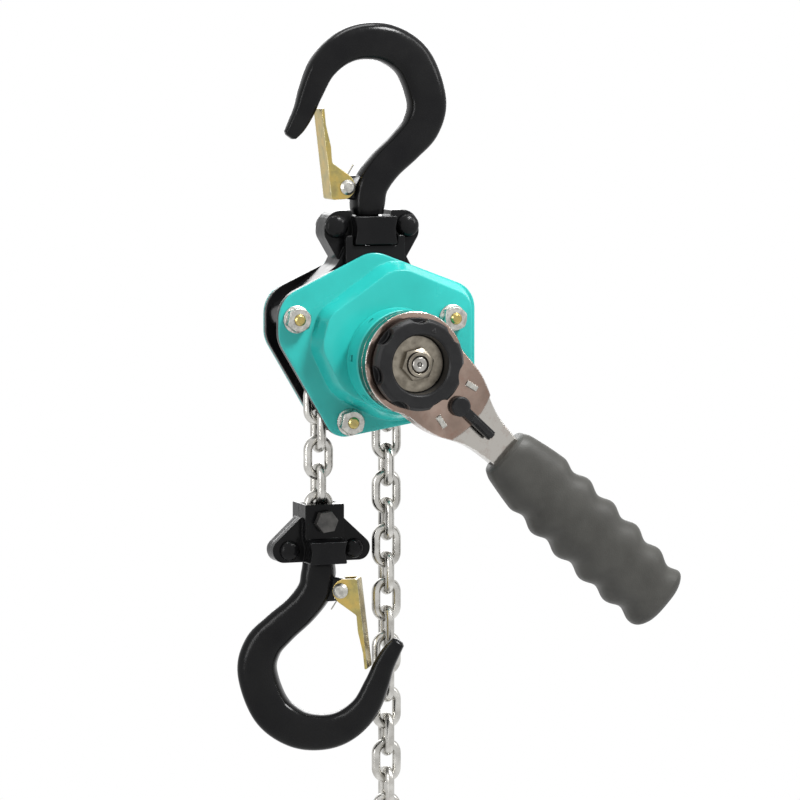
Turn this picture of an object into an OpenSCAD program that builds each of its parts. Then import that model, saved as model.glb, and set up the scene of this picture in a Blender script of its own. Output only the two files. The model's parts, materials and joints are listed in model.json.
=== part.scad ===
// Lever chain hoist of the 250 kg class, hanging from its top hook.
// Millimetres. The origin is the seat of the top hook's bowl, +Z is up and the lever is on the -Y side.

/* [Chain] */
// Wire diameter of the load chain
wire_d = 4; // [3.8:0.1:4]
// Inside length of one link, which is the chain's pitch
pitch = 12; // [12:0.05:12.2]
// Inside width of one link
link_inside_w = 5.6; // [5.5:0.1:5.8]
// Links below the body on the slack side
slack_links = 13; // [9:2:23]

/* [Body] */
// Clear distance between the two side plates
plate_gap = 17; // [16.8:0.1:18]
// Thickness of each side plate
plate_t = 2.5; // [2:0.25:3]
// Sheet thickness of the pressed covers
sheet_t = 1.5; // [1.2:0.1:1.8]
// Height of the front cover's dome over its flange
dome_h = 9.5; // [9:0.5:10.5]
// Depth of the rear cover
rear_cover_h = 9; // [7:0.5:14]
// Outer radius of the round brake cover
collar_r = 22.5; // [22:0.1:23]
// Diameter of the stay bolts
stay_d = 5; // [4.5:0.5:5.5]

/* [Gears] */
// Tooth module of the pinion and the load gear
gear_module = 1.25; // [1.24:0.01:1.26]
// Teeth on the drive pinion
pinion_teeth = 10; // [10:1:10]
// Teeth on the load gear
load_gear_teeth = 14; // [14:1:14]

/* [Lever] */
// Distance from the drive shaft to the end of the grip
lever_len = 161; // [140:1:200]
// Angle of the lever below the horizontal, in degrees
lever_angle = 42.9; // [30:0.1:60]
// Outer radius of the lever's round head
head_r = 22.4; // [22:0.1:23]
// Thickness of the lever's head
head_t = 9.5; // [9:0.1:10]
// Outer radius of the hand wheel
wheel_r = 20; // [18:0.5:21]
// Scallops round the hand wheel
scallops = 7; // [5:1:9]

/* [Hooks] */
// Swivel of the bottom hook at rest, in degrees
bottom_hook_turn = -30; // [-36:1:-26]

/* [Hidden] */
$fn = 48;

// Chain geometry: the wire is drawn a little thin, so that linked links never cut each other
wire_r = wire_d / 2 - 0.05;
end_r = link_inside_w / 2 + wire_d / 2;
side_len = pitch - link_inside_w;
half_end = side_len / 2 + end_r;

// Pocket wheel with four pockets: radii of the flat and the upright links, found from the
// common joint radius, and the angle that one upright link takes up
flat_r = 13.66;
upright_r = sqrt(flat_r * flat_r + half_end * half_end - pow(pitch / 2 - wire_d / 2, 2));
joint_r = sqrt(flat_r * flat_r + half_end * half_end);
upright_half_angle = asin((pitch / 2 - wire_d / 2) / joint_r);
rim_r = flat_r + 2.05;
sheave_hub_r = 6;

// Sheave and drive shaft axes, both along Y
shaft_x = 5.6;
shaft_z = -129.79;
gear_distance = gear_module * (pinion_teeth + load_gear_teeth) / 2;
sheave_x = -7;
sheave_z = shaft_z + sqrt(pow(gear_distance, 2) - pow(shaft_x - sheave_x, 2));
load_fall_x = sheave_x - joint_r;
slack_fall_x = sheave_x + joint_r;

// Levels along Y, from the chain's plane towards the front
plate_in = plate_gap / 2;
plate_out = plate_in + plate_t;
flange_y = plate_out + sheet_t;
dome_y = flange_y + dome_h;
brake_cover_y = dome_y + 12.8;
head_back_y = brake_cover_y + 0.7;
head_front_y = head_back_y + head_t;
wheel_back_y = head_front_y + 0.6;
wheel_front_y = 53.6;

// Stay bolts: upper left, upper right and lower middle
stay_places = [[-37, -111.9], [31.5, -112.2], [-12.5, -157.3]];
stay_hole_r = stay_d / 2 + 0.1;

// Outline of the plates and of the front cover's flange: corner, then its radius
flange_corners = [[-1.5, -82.5, 14], [45.8, -100.3, 12], [45.8, -154, 12], [-19.3, -164.6, 9],
                  [-44.8, -121.5, 14], [-44.8, -103.2, 14]];
rear_corners = [[-1.5, -82.2, 14], [44.5, -100.2, 12], [44.5, -153.5, 12], [-18.9, -163.6, 9],
                [-43.9, -121.4, 14], [-43.9, -101.8, 14]];
dome_foot_corners = [[6, -85.5, 16], [43.6, -100.2, 11], [43.4, -150, 14], [5, -158.6, 26],
                     [-21, -145.5, 20], [-31.5, -124, 13], [-27, -108.5, 12]];
dome_top_corners = [[6.5, -89, 14], [40.8, -103, 9], [40.6, -147, 12], [5, -155.6, 24],
                    [-18.6, -143.2, 18], [-28.6, -124, 11], [-24.6, -110, 10]];

// Lever frame: u runs from the drive shaft along the lever, v across it
neck_end_u = 78;
neck_half_w = 7.5;
head_half_widths = [[14, 18.6], [20, 18], [26, 17], [32, 14.9], [37, 12.4], [43, 9.9], [49, 8.5], [55, 7.8],
                    [60, neck_half_w], [neck_end_u, neck_half_w]];
selector_u = 28;
grip_start = 59.4;

// Change gear: one tooth points along the lever, and its shoulders carry the lever's two shells
change_teeth = 14;
change_tip_r = 12.6;
change_root_r = 10.6;
shoulder_r = 13.5;
lever_bore_r = shoulder_r + 0.06;
neck_drop = 2;
neck_step_r = 38;
shell_t = 1.6;

// Ratchet disc of the brake
ratchet_teeth = 12;
ratchet_tip_r = 15;
ratchet_root_r = 12.8;
ratchet_y = dome_y + 4.2;
hub_sleeve_r = 7.2;
ratchet_t = 3;
brake_pawl_angle = 61;
brake_pawl_r = 17.9;

// Bottom block
bolt_r = 2.5;
load_end_z = sheave_z - half_end / 2 - 6 * pitch;
bolt_z = load_end_z - (half_end - wire_r - bolt_r - 0.3);
block_top = bolt_z + 7.4;
block_bottom = block_top - 25.8;

// Centre line of the hook, from its shank to its tip: x, z, width in the hook's plane, thickness
hook_stations = [
    [0, -67.4, 13.8, 12.8], [0, -62, 15.2, 14.2], [1.6, -54.5, 15.2, 14.2], [8, -46, 15, 13.4],
    [17.4, -37.5, 15.6, 13], [25, -29, 16.8, 12.8], [27.5, -17.6, 17.6, 12.8],
    [21.5, -1.5, 17.8, 12.8], [10.6, 6.6, 17.4, 12.6], [-1.4, 8.2, 16.2, 12.2], [-12, 5, 14.6, 11.6],
    [-20.8, -2.9, 12.6, 10.8], [-25.9, -13.2, 11, 9.2], [-29.1, -21.6, 9.4, 7.8], [-32.6, -28.2, 8.2, 7],
    [-35.6, -32.4, 6.2, 5.4]];
hook_steps = 3;
hook_sides = 16;
hook_squareness = 0.64;
latch_pivot = [-11, -55.3];
latch_half_w = 5.5;
shank_r = 5;
swivel_r = shank_r + 0.06;
hook_collar_r = 6.5;
collar_hole_r = 6.8;
shank_end_z = -77.4;

// ---- shared shapes ----

// Points round a polygon whose corners carry radii: each corner is a tangent arc
function unit(v) = v / norm(v);
function corner_arc(before, at, after, r, steps) =
    let (a = unit(before - at),
         b = unit(after - at),
         half = acos(a * b) / 2,
         centre = at + unit(a + b) * r / sin(half),
         start = at + a * r / tan(half) - centre,
         stop = at + b * r / tan(half) - centre,
         a0 = atan2(start[1], start[0]),
         turn = atan2(start[0] * stop[1] - start[1] * stop[0], start * stop))
    [for (i = [0:steps]) centre + r * [cos(a0 + turn * i / steps), sin(a0 + turn * i / steps)]];
function rounded(corners, steps = 8) =
    let (n = len(corners))
    [for (i = [0:n - 1])
        let (p = corners[(i + n - 1) % n],
             c = corners[i],
             q = corners[(i + 1) % n])
        each corner_arc([p[0], p[1]], [c[0], c[1]], [q[0], q[1]], c[2], steps)];

// A flat shape drawn in X and Z, standing from y = back towards the front by thickness
module stand(back, thickness) {
    translate([0, back, 0]) rotate([90, 0, 0]) linear_extrude(thickness) children();
}

// The same, about the drive shaft or the sheave
module at_shaft() {
    translate([shaft_x, 0, shaft_z]) children();
}
module at_sheave() {
    translate([sheave_x, 0, sheave_z]) children();
}

// Round bar, disc or hole along Y between two levels
module bar_y(r, y0, y1) {
    translate([0, max(y0, y1), 0]) rotate([90, 0, 0]) cylinder(r = r, h = abs(y1 - y0));
}

// Solid of revolution about Y: the profile holds radius and level in front of the chain's plane
module turned(profile) {
    rotate([90, 0, 0]) rotate_extrude() polygon(profile);
}

module hexagon_y(across_flats, y0, y1, turn = 0) {
    translate([0, max(y0, y1), 0]) rotate([90, 0, 0]) rotate([0, 0, turn])
        cylinder(r = across_flats / sqrt(3), h = abs(y1 - y0), $fn = 6);
}

// One link in the XZ plane with its length along Z
module link() {
    for (s = [1, -1]) {
        translate([0, 0, s * side_len / 2])
            rotate([s * 90, 0, 0])
                rotate_extrude(angle = 180) translate([end_r, 0]) circle(wire_r, $fn = 20);
        translate([s * end_r, 0, -side_len / 2]) cylinder(r = wire_r, h = side_len, $fn = 20);
    }
}

// A hanging run of links from z downwards; even links face the front, odd ones are edge on
module fall(x, z, first, last) {
    for (i = [first:last])
        translate([x, 0, z - i * pitch]) rotate([0, 0, i % 2 == 0 ? 0 : 90]) link();
}

// ---- gears ----

function involute(base_r, r) =
    let (a = sqrt(max(0, pow(r / base_r, 2) - 1)))
    a * 180 / PI - atan(a);

// Points of one spur gear, with a tooth on the +X axis
function gear_points(teeth, backlash) =
    let (pressure = 25,
         pitch_r = gear_module * teeth / 2,
         base_r = pitch_r * cos(pressure),
         tip_r = pitch_r + 0.85 * gear_module,
         root_r = pitch_r - 1.15 * gear_module,
         half_at_pitch = 90 / teeth - backlash / pitch_r * 90 / PI,
         half_at_base = half_at_pitch + involute(base_r, pitch_r),
         radii = [for (i = [0:5]) max(base_r, root_r) + (tip_r - max(base_r, root_r)) * i / 5])
    [for (t = [0:teeth - 1])
        let (mid = t * 360 / teeth)
        each concat(
            [[root_r * cos(mid - half_at_base), root_r * sin(mid - half_at_base)]],
            [for (r = radii)
                let (a = mid - half_at_base + involute(base_r, r)) [r * cos(a), r * sin(a)]],
            [for (i = [5:-1:0])
                let (r = radii[i], a = mid + half_at_base - involute(base_r, r)) [r * cos(a), r * sin(a)]],
            [[root_r * cos(mid + half_at_base), root_r * sin(mid + half_at_base)]])];

// Direction from the sheave's axis to the shaft's, where the two gears mesh
mesh_angle = atan2(shaft_z - sheave_z, shaft_x - sheave_x);
gear_front_y = dome_y - sheet_t - 0.6;
gear_back_y = plate_out + 0.8;

// ---- chain ----

module wrapped_chain() {
    color("silver") {
        at_sheave() {
            for (k = [0:1])
                rotate([0, 90 * k - 45 - upright_half_angle, 0])
                    translate([0, 0, flat_r]) rotate([0, 90, 0]) rotate([0, 0, 90]) link();
            for (k = [0:1])
                rotate([0, 90 * k - upright_half_angle, 0])
                    translate([0, 0, upright_r]) rotate([0, 90, 0]) link();
        }
        fall(load_fall_x, sheave_z - (half_end / 2), 0, 2);
        fall(slack_fall_x, sheave_z - half_end + pitch, 1, 4);
    }
}
module load_link() {
    color("silver") fall(load_fall_x, sheave_z - (half_end / 2), 3, 3);
}
module load_chain() {
    color("silver") fall(load_fall_x, sheave_z - (half_end / 2), 4, 6);
}
module slack_link() {
    color("silver") fall(slack_fall_x, sheave_z - half_end + pitch, 5, 5);
}
module slack_chain() {
    color("silver") fall(slack_fall_x, sheave_z - half_end + pitch, 6, 5 + slack_links);
}
module chain_end_ring() {
    ring_r = 9;
    last_z = sheave_z - half_end + pitch - (5 + slack_links) * pitch;
    turn = (5 + slack_links) % 2 == 0 ? 90 : 0;
    color("silver")
        translate([slack_fall_x, 0, last_z - half_end + wire_d - ring_r])
            rotate([0, 0, turn]) rotate([90, 0, 0])
                rotate_extrude() translate([ring_r, 0]) circle(wire_r, $fn = 24);
}

// Pocket wheel: rims with a flat floor under each flat link and a groove for the upright links
module load_sheave() {
    rim_half = plate_in - 0.3;
    groove_half = wire_d / 2 + 0.7;
    groove_floor_r = upright_r - end_r - wire_d / 2 - 0.3;
    color("dimgray") at_sheave() difference() {
        union() {
            bar_y(rim_r, -rim_half, rim_half);
            bar_y(sheave_hub_r, -gear_front_y, plate_out - 0.3);
        }
        turned([[groove_floor_r, -groove_half], [rim_r + 1, -groove_half],
                [rim_r + 1, groove_half], [groove_floor_r, groove_half]]);
        for (k = [0:3])
            rotate([0, 90 * k - 45 - upright_half_angle, 0])
                translate([0, 0, flat_r]) rotate([0, 90, 0]) rotate([0, 0, 90])
                    pocket();
    }
}
// Room that one flat link needs: a long round-ended slot, wider than the link by a small play
module pocket() {
    play = 0.45;
    reach = wire_r + play;
    for (s = [1, -1])
        translate([0, -reach, s * side_len / 2])
            rotate([-90, 0, 0]) cylinder(r = end_r + reach, h = 14);
    translate([-end_r - reach, -reach, -side_len / 2]) cube([2 * (end_r + reach), 14, side_len]);
}
module sheave_bushes() {
    color("peru") at_sheave() for (s = [1, -1]) difference() {
        bar_y(7.5, s * plate_in, s * plate_out);
        bar_y(sheave_hub_r + 0.05, s * (plate_in - 1), s * (plate_out + 1));
    }
}
module load_gear() {
    color("slategray") at_sheave() difference() {
        rotate([0, -mesh_angle, 0])
            stand(-gear_back_y, gear_front_y - gear_back_y)
                polygon(gear_points(load_gear_teeth, 0.12));
        bar_y(sheave_hub_r, -gear_front_y - 1, -gear_back_y + 1);
    }
}

// ---- drive train on the shaft ----

module drive_pinion() {
    color("slategray") at_shaft() difference() {
        rotate([0, -mesh_angle - 180 + 180 / pinion_teeth, 0])
            stand(-gear_back_y, gear_front_y - gear_back_y)
                polygon(gear_points(pinion_teeth, 0.12));
        bar_y(3.5, -gear_front_y - 1, -gear_back_y + 1);
    }
}
module drive_shaft() {
    color("silver") at_shaft() difference() {
        turned([[0, plate_in + 0.3], [3, plate_in + 0.3], [3.5, plate_in + 0.8], [3.5, gear_front_y],
                [4.5, gear_front_y], [4.5, head_front_y - 0.5], [4, head_front_y], [4, 50.4],
                [3.3, 51.1], [3.3, 51.8], [2.9, 52.2], [0, 52.2]]);
        turned([[0, 50], [1, 50.6], [1, 51.8], [1.6, 52.4], [1.6, 53], [0, 53]]);
    }
}
module shaft_bush() {
    color("peru") at_shaft() {
        difference() {
            bar_y(6, -plate_in, -plate_out);
            bar_y(3.56, 0, -plate_out - 1);
        }
        difference() {
            bar_y(8, -dome_y + sheet_t, -dome_y - 0.3);
            bar_y(4.56, 0, -dome_y - 1);
        }
    }
}
module brake_hub() {
    color("gray") at_shaft() difference() {
        union() {
            bar_y(13, -dome_y - 0.9, -dome_y - 2.9);
            bar_y(hub_sleeve_r, -dome_y - 2.8, -dome_y - 8.4);
        }
        bar_y(4.5, -dome_y, -dome_y - 9);
    }
}
module friction_discs() {
    color("saddlebrown") at_shaft() for (y = [dome_y + 2.9, ratchet_y + ratchet_t + 0.05]) difference() {
        bar_y(12.6, -y, -y - 1.2);
        bar_y(hub_sleeve_r, -y + 1, -y - 3);
    }
}
module ratchet_disc() {
    step = 360 / ratchet_teeth;
    points = [for (t = [0:ratchet_teeth - 1]) each
        [ratchet_root_r * [cos(t * step - 14), sin(t * step - 14)],
         ratchet_root_r * [cos(t * step - 3), sin(t * step - 3)],
         ratchet_tip_r * [cos(t * step), sin(t * step)]]];
    color("gray") at_shaft() difference() {
        rotate([0, -brake_pawl_angle - 25, 0]) stand(-ratchet_y, ratchet_t) polygon(points);
        bar_y(hub_sleeve_r + 0.06, -ratchet_y + 1, -ratchet_y - ratchet_t - 1);
    }
}
module at_brake_pawl() {
    at_shaft() rotate([0, -brake_pawl_angle, 0]) translate([brake_pawl_r, 0, 0]) children();
}
// Pawl of the brake: an eye on its pin with a nose that drops behind a ratchet tooth
module brake_pawl() {
    color("gray") at_brake_pawl() difference() {
        stand(-ratchet_y - 0.1, ratchet_t - 0.2) union() {
            circle(2.6);
            polygon([[2.2, 1.2], [-2.37, 6.91], [-4.22, 6.03], [-5.7, 4.78], [-5.35, 4.08], [-3.8, 2], [-2.4, -0.8]]);
        }
        bar_y(1.35, -ratchet_y + 1, -ratchet_y - ratchet_t - 1);
    }
}
module brake_pawl_pin() {
    color("silver") at_brake_pawl() {
        bar_y(1.3, -dome_y + sheet_t, -ratchet_y - ratchet_t - 1);
        bar_y(2, -ratchet_y - ratchet_t - 0.3, -ratchet_y - ratchet_t - 1);
    }
}
module change_gear() {
    tooth = 360 / change_teeth;
    points = [for (t = [0:change_teeth - 1]) each
        [change_root_r * [cos(t * tooth - 4), sin(t * tooth - 4)],
         change_tip_r * [cos(t * tooth - 2.4), sin(t * tooth - 2.4)],
         change_tip_r * [cos(t * tooth + 2.4), sin(t * tooth + 2.4)],
         change_root_r * [cos(t * tooth + 4), sin(t * tooth + 4)]]];
    flange_back = ratchet_y + ratchet_t + 1.3;
    color("gray") at_shaft() difference() {
        union() {
            bar_y(13, -flange_back, -flange_back - 2);
            bar_y(9, -flange_back - 1.9, -head_front_y);
            bar_y(shoulder_r, -head_back_y + 0.4, -head_back_y - shell_t - 0.1);
            bar_y(shoulder_r, -head_front_y + shell_t + 0.1, -head_front_y);
            rotate([0, lever_angle, 0])
                stand(-head_back_y - 2.1, head_t - 4.2) polygon(points);
        }
        bar_y(4.5, -flange_back + 1, -head_front_y - 1);
    }
}

// Hand wheel: a dished knob with scallops round its rim and a deep recess for the nut
module hand_wheel() {
    recess_r = 12.9;
    floor_y = wheel_back_y + 0.4;
    color("#202022") at_shaft() difference() {
        turned([[4, wheel_back_y - 0.5], [8.6, wheel_back_y - 0.5], [9, wheel_back_y], [18.6, wheel_back_y],
                [wheel_r - 0.3, wheel_back_y + 1], [wheel_r, wheel_back_y + 2], [wheel_r, wheel_front_y - 1.6],
                [wheel_r - 1.2, wheel_front_y - 0.2], [wheel_r - 2, wheel_front_y], [recess_r + 0.8, wheel_front_y],
                [recess_r, wheel_front_y - 0.8], [recess_r - 0.4, floor_y], [4, floor_y]]);
        for (k = [0:scallops - 1]) rotate([0, 360 / scallops * (k + 0.25), 0]) {
            translate([wheel_r + 4.2, 0, 0]) bar_y(6.5, -wheel_back_y - 1.6, -wheel_front_y - 1);
            translate([14.6, -wheel_back_y - 5, -3.2]) cube([8, 3, 6.4]);
        }
    }
    color("#202022") at_shaft() rotate([0, -68, 0]) translate([15.7, 0, 0])
        stand(-wheel_front_y + 0.2, 0.5) polygon([[1.1, 0], [-0.7, 1.05], [-0.7, -1.05]]);
}
module wheel_washer() {
    color("lightgray") at_shaft() difference() {
        bar_y(12.2, -wheel_back_y - 0.4, -wheel_back_y - 1.6);
        bar_y(4, -wheel_back_y, -wheel_back_y - 3);
    }
}
module shaft_nut() {
    back = wheel_back_y + 1.6;
    color("silver") at_shaft() difference() {
        intersection() {
            hexagon_y(13, -back, -back - 5, 12);
            turned([[0, back], [7.6, back], [7.6, back + 2.2], [5.6, back + 3.2],
                    [5.3, back + 5], [0, back + 5]]);
        }
        bar_y(4, -back + 1, -back - 6);
    }
}

// ---- lever ----

module at_lever() {
    at_shaft() rotate([0, lever_angle, 0]) children();
}
// Smooth edge of the lever through the half widths
function edge_at(i) = head_half_widths[max(0, min(len(head_half_widths) - 1, i))];
function edge_point(s) =
    let (i = min(len(head_half_widths) - 2, floor(s)))
    spline(edge_at(i - 1), edge_at(i), edge_at(i + 1), edge_at(i + 2), s - i);
// Outline of the lever's head and neck, drawn along u and v; inset brings every edge in
function head_outline(inset) =
    let (round_steps = 36,
         r = head_r - inset,
         first = 58,
         last = len(head_half_widths) - 1,
         upper = [for (i = [0:3 * last])
                  let (w = edge_point(i / 3)) [w[0] + (i == 3 * last ? inset : 0), w[1] - inset]],
         lower = [for (i = [len(upper) - 1:-1:0]) [upper[i][0], -upper[i][1]]])
    concat([for (i = [0:round_steps])
                let (a = 360 - first - (360 - 2 * first) * i / round_steps) [r * cos(a), r * sin(a)]],
           upper, lower);

// Front shell: a pressed pan. Its neck is stepped down, and runs on under the grip
module lever_front_shell() {
    split = head_back_y + head_t / 2;
    neck_depth = head_t / 2 - neck_drop;
    color("gainsboro") at_lever() difference() {
        union() {
            stand(-split, neck_depth) polygon(head_outline(0));
            stand(-split, head_t / 2) intersection() {
                polygon(head_outline(0));
                circle(neck_step_r, $fn = 96);
            }
        }
        stand(-split + 1, 1 + neck_depth - shell_t) polygon(head_outline(shell_t));
        stand(-split + 1, 1 + head_t / 2 - shell_t) intersection() {
            polygon(head_outline(shell_t));
            circle(neck_step_r - shell_t, $fn = 96);
        }
        bar_y(lever_bore_r, -split + 1, -head_front_y - 1);
        translate([selector_u, 0, 0]) bar_y(2.56, -split, -head_front_y - 1);
        stakes(0);
    }
}
module lever_rear_shell() {
    split = head_back_y + head_t / 2;
    color("gainsboro") at_lever() difference() {
        stand(-head_back_y, head_t / 2) polygon(head_outline(0));
        stand(-head_back_y - shell_t, head_t / 2) polygon(head_outline(shell_t));
        bar_y(lever_bore_r, -head_back_y + 1, -split - 1);
        translate([selector_u, 0, 0]) bar_y(2.56, -head_back_y + 1, -split);
        stakes(0);
    }
}
// Two flat stakes hold the shells together; their ends stand a little proud of the faces
module stakes(proud) {
    for (s = [1, -1])
        translate([26.5, -grip_mid_y, s * 10.3]) rotate([0, -s * 12, 0])
            cube([5.6, head_t + 2 * proud, 2.2], center = true);
}
module lever_stakes() {
    color("silver") at_lever() stakes(0.35);
}
// Grip: an oval moulding with five finger waves on each side and a domed end
grip_mid_y = head_back_y + head_t / 2;
grip_len = lever_len - grip_start;
grip_rings = 50;
grip_sides = 20;
wave_first = 0.262;
wave_pitch = 0.1526;
wave_shift = 0.028;
function wave(t) = t < wave_first - wave_pitch / 2 || t > wave_first + 4.5 * wave_pitch ? 0
                 : -2.4 * pow(cos(180 * (t - wave_first) / wave_pitch), 2);
function end_round(t) = t < 0.045 ? sqrt(1 - pow(1 - t / 0.045, 2) * 0.16)
                      : t > 0.955 ? sqrt(1 - pow((t - 0.955) / 0.045, 2) * 0.5) : 1;
function grip_half_w(t, side) =
    (12.4 + 4.8 * sin(90 * min(1, t / 0.34)) - 1.6 * max(0, (t - 0.7) / 0.3)) * end_round(t)
    + wave(t - (side > 0 ? wave_shift : 0));
function grip_half_t(t) = (9.2 + 1.6 * sin(180 * t)) * end_round(t);
module grip_body() {
    rings = [for (i = [0:grip_rings])
        let (t = i / grip_rings)
        [for (k = [0:grip_sides - 1])
            let (a = 360 * k / grip_sides,
                 c = cos(a),
                 s = sin(a))
            [grip_start + grip_len * t,
             -grip_mid_y + grip_half_t(t) * sign(s) * pow(abs(s), 0.8),
             grip_half_w(t, c) * sign(c) * pow(abs(c), 0.8)]]];
    swept(rings);
}
module lever_grip() {
    color("#4a4a48") at_lever() difference() {
        grip_body();
        translate([grip_start - 1, -head_front_y + neck_drop, -neck_half_w - 0.05])
            cube([neck_end_u - grip_start + 1, head_t - neck_drop, 2 * neck_half_w + 0.1]);
    }
}
// Closed skin over a list of rings that all have the same number of points
module swept(rings) {
    n = len(rings[0]);
    m = len(rings);
    points = [for (r = rings) each r];
    sides = [for (i = [0:m - 2]) for (k = [0:n - 1])
        each [[i * n + k, i * n + (k + 1) % n, (i + 1) * n + k],
              [i * n + (k + 1) % n, (i + 1) * n + (k + 1) % n, (i + 1) * n + k]]];
    ends = [[for (k = [n - 1:-1:0]) k], [for (k = [0:n - 1]) (m - 1) * n + k]];
    polyhedron(points, concat(sides, ends), convexity = 6);
}
module at_selector() {
    at_lever() translate([selector_u, 0, 0]) children();
}
module direction_selector() {
    face = head_front_y;
    color("#151516") at_selector() {
        turned([[0, face + 0.2], [4.4, face + 0.2], [4.4, face + 2.6], [3.7, face + 3.2], [0, face + 3.2]]);
        bar_y(2.5, -head_back_y - 0.3, -face - 0.3);
        translate([2, -face - 2.9, -2.1]) cube([17.5, 2.7, 4.2]);
        translate([7, -face - 4.1, -1.1]) cube([12.5, 1.4, 2.2]);
    }
}
// Two-nosed pawl on the selector's spindle; in the middle position both noses clear the teeth.
// Each nose is cut back on its outer side, so that it swings in between two teeth
module change_pawl() {
    reach = 16.9;
    spread = 22;
    color("gray") at_selector() difference() {
        union() {
            bar_y(4.4, -head_back_y - 2.3, -head_front_y + 2.3);
            for (s = [1, -1]) rotate([0, s * spread, 0]) stand(-head_back_y - 2.3, head_t - 4.6)
                polygon([[-2.8, s * 2.6], [-reach + 2, s * 0.75], [-reach, -s * 0.15], [-reach, -s * 0.5],
                         [-reach + 3, -s * 0.7], [-2.8, -s * 1.4]]);
        }
        bar_y(2.5, -head_back_y + 1, -head_front_y - 1);
    }
}
// Detent: a sprung plunger with a round nose behind the pawl, midway between the shells
detent_y = (head_back_y + head_front_y - neck_drop) / 2;
module detent_plunger() {
    nose_r = 1.9;
    color("silver") at_selector() translate([6.7, -detent_y, 0]) rotate([0, 90, 0])
        rotate_extrude() polygon([[0, -nose_r], [nose_r * 0.5, -nose_r * 0.87], [nose_r * 0.87, -nose_r * 0.5],
                                  [nose_r, 0], [nose_r, 1.6], [1, 1.6], [1, 8], [0, 8]]);
}
module detent_spring() {
    coil_r = 1.5;
    color("silver") at_selector()
        for (i = [0:4]) translate([9.6 + i * 1.15, -detent_y, 0])
            rotate([0, 90, 0]) rotate_extrude() translate([coil_r, 0]) circle(0.35);
}

// ---- plates and covers ----

module plate_holes(back) {
    for (p = stay_places) translate([p[0], 0, p[1]]) bar_y(stay_hole_r, back + 1, back - 8);
}
// Tongue at the top of each side plate, forked round the yoke's boss
tongue_corners = [[-13.6, -76.2, 1], [-10.4, -76.2, 0.5], [-10.4, -80.6, 1], [10.4, -80.6, 1],
                  [10.4, -76.2, 0.5], [13.6, -76.2, 1], [13.6, -95, 2], [-13.6, -95, 2]];
rivet_places = [[-16.4, -72.2], [16.4, -72.2]];
module side_plate(corners) {
    difference() {
        union() {
            polygon(rounded(corners));
            polygon(rounded(tongue_corners, 6));
        }
        translate([sheave_x, sheave_z]) circle(7.5);
    }
}
module rear_side_plate() {
    color("#161617") difference() {
        stand(plate_out, plate_t) side_plate(rear_corners);
        plate_holes(plate_out);
    }
}
module front_side_plate() {
    color("#161617") difference() {
        stand(-plate_in, plate_t) difference() {
            side_plate(flange_corners);
            translate([shaft_x, shaft_z]) circle(6);
        }
        plate_holes(-plate_in);
    }
}

// Crosshead: a forged yoke. Its lobes stand above the plates, its boss fills the forks of their
// tongues, and its two arms reach down between the plates to the upper stay bolts
waist = [[-9.8, -67.8, 0.6], [-8.6, -73.8, 8], [-9.8, -80, 0.6],
         [9.8, -80, 0.6], [8.6, -73.8, 8], [9.8, -67.8, 0.6]];
lobe_corners = [[-21.1, -65.3, 7.4], [-9.4, -65.3, 1], [-8.8, -67.8, 0.8], [8.8, -67.8, 0.8], [9.4, -65.3, 1],
                [21.1, -65.3, 7.4], [22, -76, 6], [12.6, -92, 3], [-12.6, -92, 3], [-22, -76, 6]];
arm_corners = [[-12.6, -80.6, 1], [12.6, -80.6, 1], [17, -89, 6], [37.5, -108.5, 5], [37, -117.5, 5], [27, -117.5, 5],
               [11.6, -95.6, 4], [-14.4, -95.6, 4], [-32, -117, 5], [-42, -117, 5], [-43, -108, 5], [-17, -89, 6]];
module crosshead() {
    half_gap = plate_in - 0.05;
    color("#1a1a1b") difference() {
        union() {
            stand(6, 12) polygon(rounded(lobe_corners, 6));
            stand(half_gap, 2 * half_gap) polygon(rounded(arm_corners, 5));
            stand(plate_out + 1.4, 2 * plate_out + 2.8) polygon(rounded(waist, 5));
        }
        for (p = rivet_places) translate([p[0], 0, p[1]]) bar_y(3, 20, -20);
        for (i = [0, 1]) translate([stay_places[i][0], 0, stay_places[i][1]]) bar_y(stay_hole_r, 20, -20);
        translate([0, 0, -90]) cylinder(r = swivel_r, h = 30);
        translate([0, 0, -100]) cylinder(r = collar_hole_r, h = 28.05);
    }
}
// Domed rivets through the yoke's lobes
module dome_rivet(half_len, shank_r, head_r2, head_h) {
    bar_y(shank_r, half_len + 0.05, -half_len - 0.05);
    for (s = [1, -1]) rotate([s > 0 ? 0 : 180, 0, 0])
        turned([[0, half_len], [head_r2, half_len],
                for (i = [0:6]) [head_r2 * cos(15 * i), half_len + 0.6 + head_h * sin(15 * i)]]);
}
module crosshead_rivets() {
    color("#111112") for (p = rivet_places)
        translate([p[0], 0, p[1]]) dome_rivet(6, 3, 5.2, 2.8);
}

module layer(corners, y, t = 0.02) {
    stand(-y, t) polygon(rounded(corners, 7));
}
// Front cover: flange, sloped dome with a softened edge, hollow behind
module front_cover() {
    color("#38c6b4") difference() {
        union() {
            layer(flange_corners, plate_out, sheet_t);
            hull() {
                layer(dome_foot_corners, flange_y - 0.1);
                layer(dome_top_corners, dome_y - 1.6);
                layer([for (c = dome_top_corners) dome_soft(c)], dome_y - 0.02);
            }
        }
        hull() {
            layer([for (c = dome_foot_corners) dome_wall(c)], plate_out - 0.2);
            layer([for (c = dome_top_corners) dome_wall(c)], dome_y - sheet_t - 0.02);
        }
        for (i = [0, 2]) translate([stay_places[i][0], 0, stay_places[i][1]])
            bar_y(stay_hole_r, 0, -flange_y - 1);
        translate([stay_places[1][0], 0, stay_places[1][1]]) bar_y(stay_hole_r, 0, -dome_y - 1);
        at_shaft() bar_y(8, 0, -dome_y - 1);
        at_brake_pawl() bar_y(1.3, 0, -dome_y - 1);
    }
}
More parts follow.
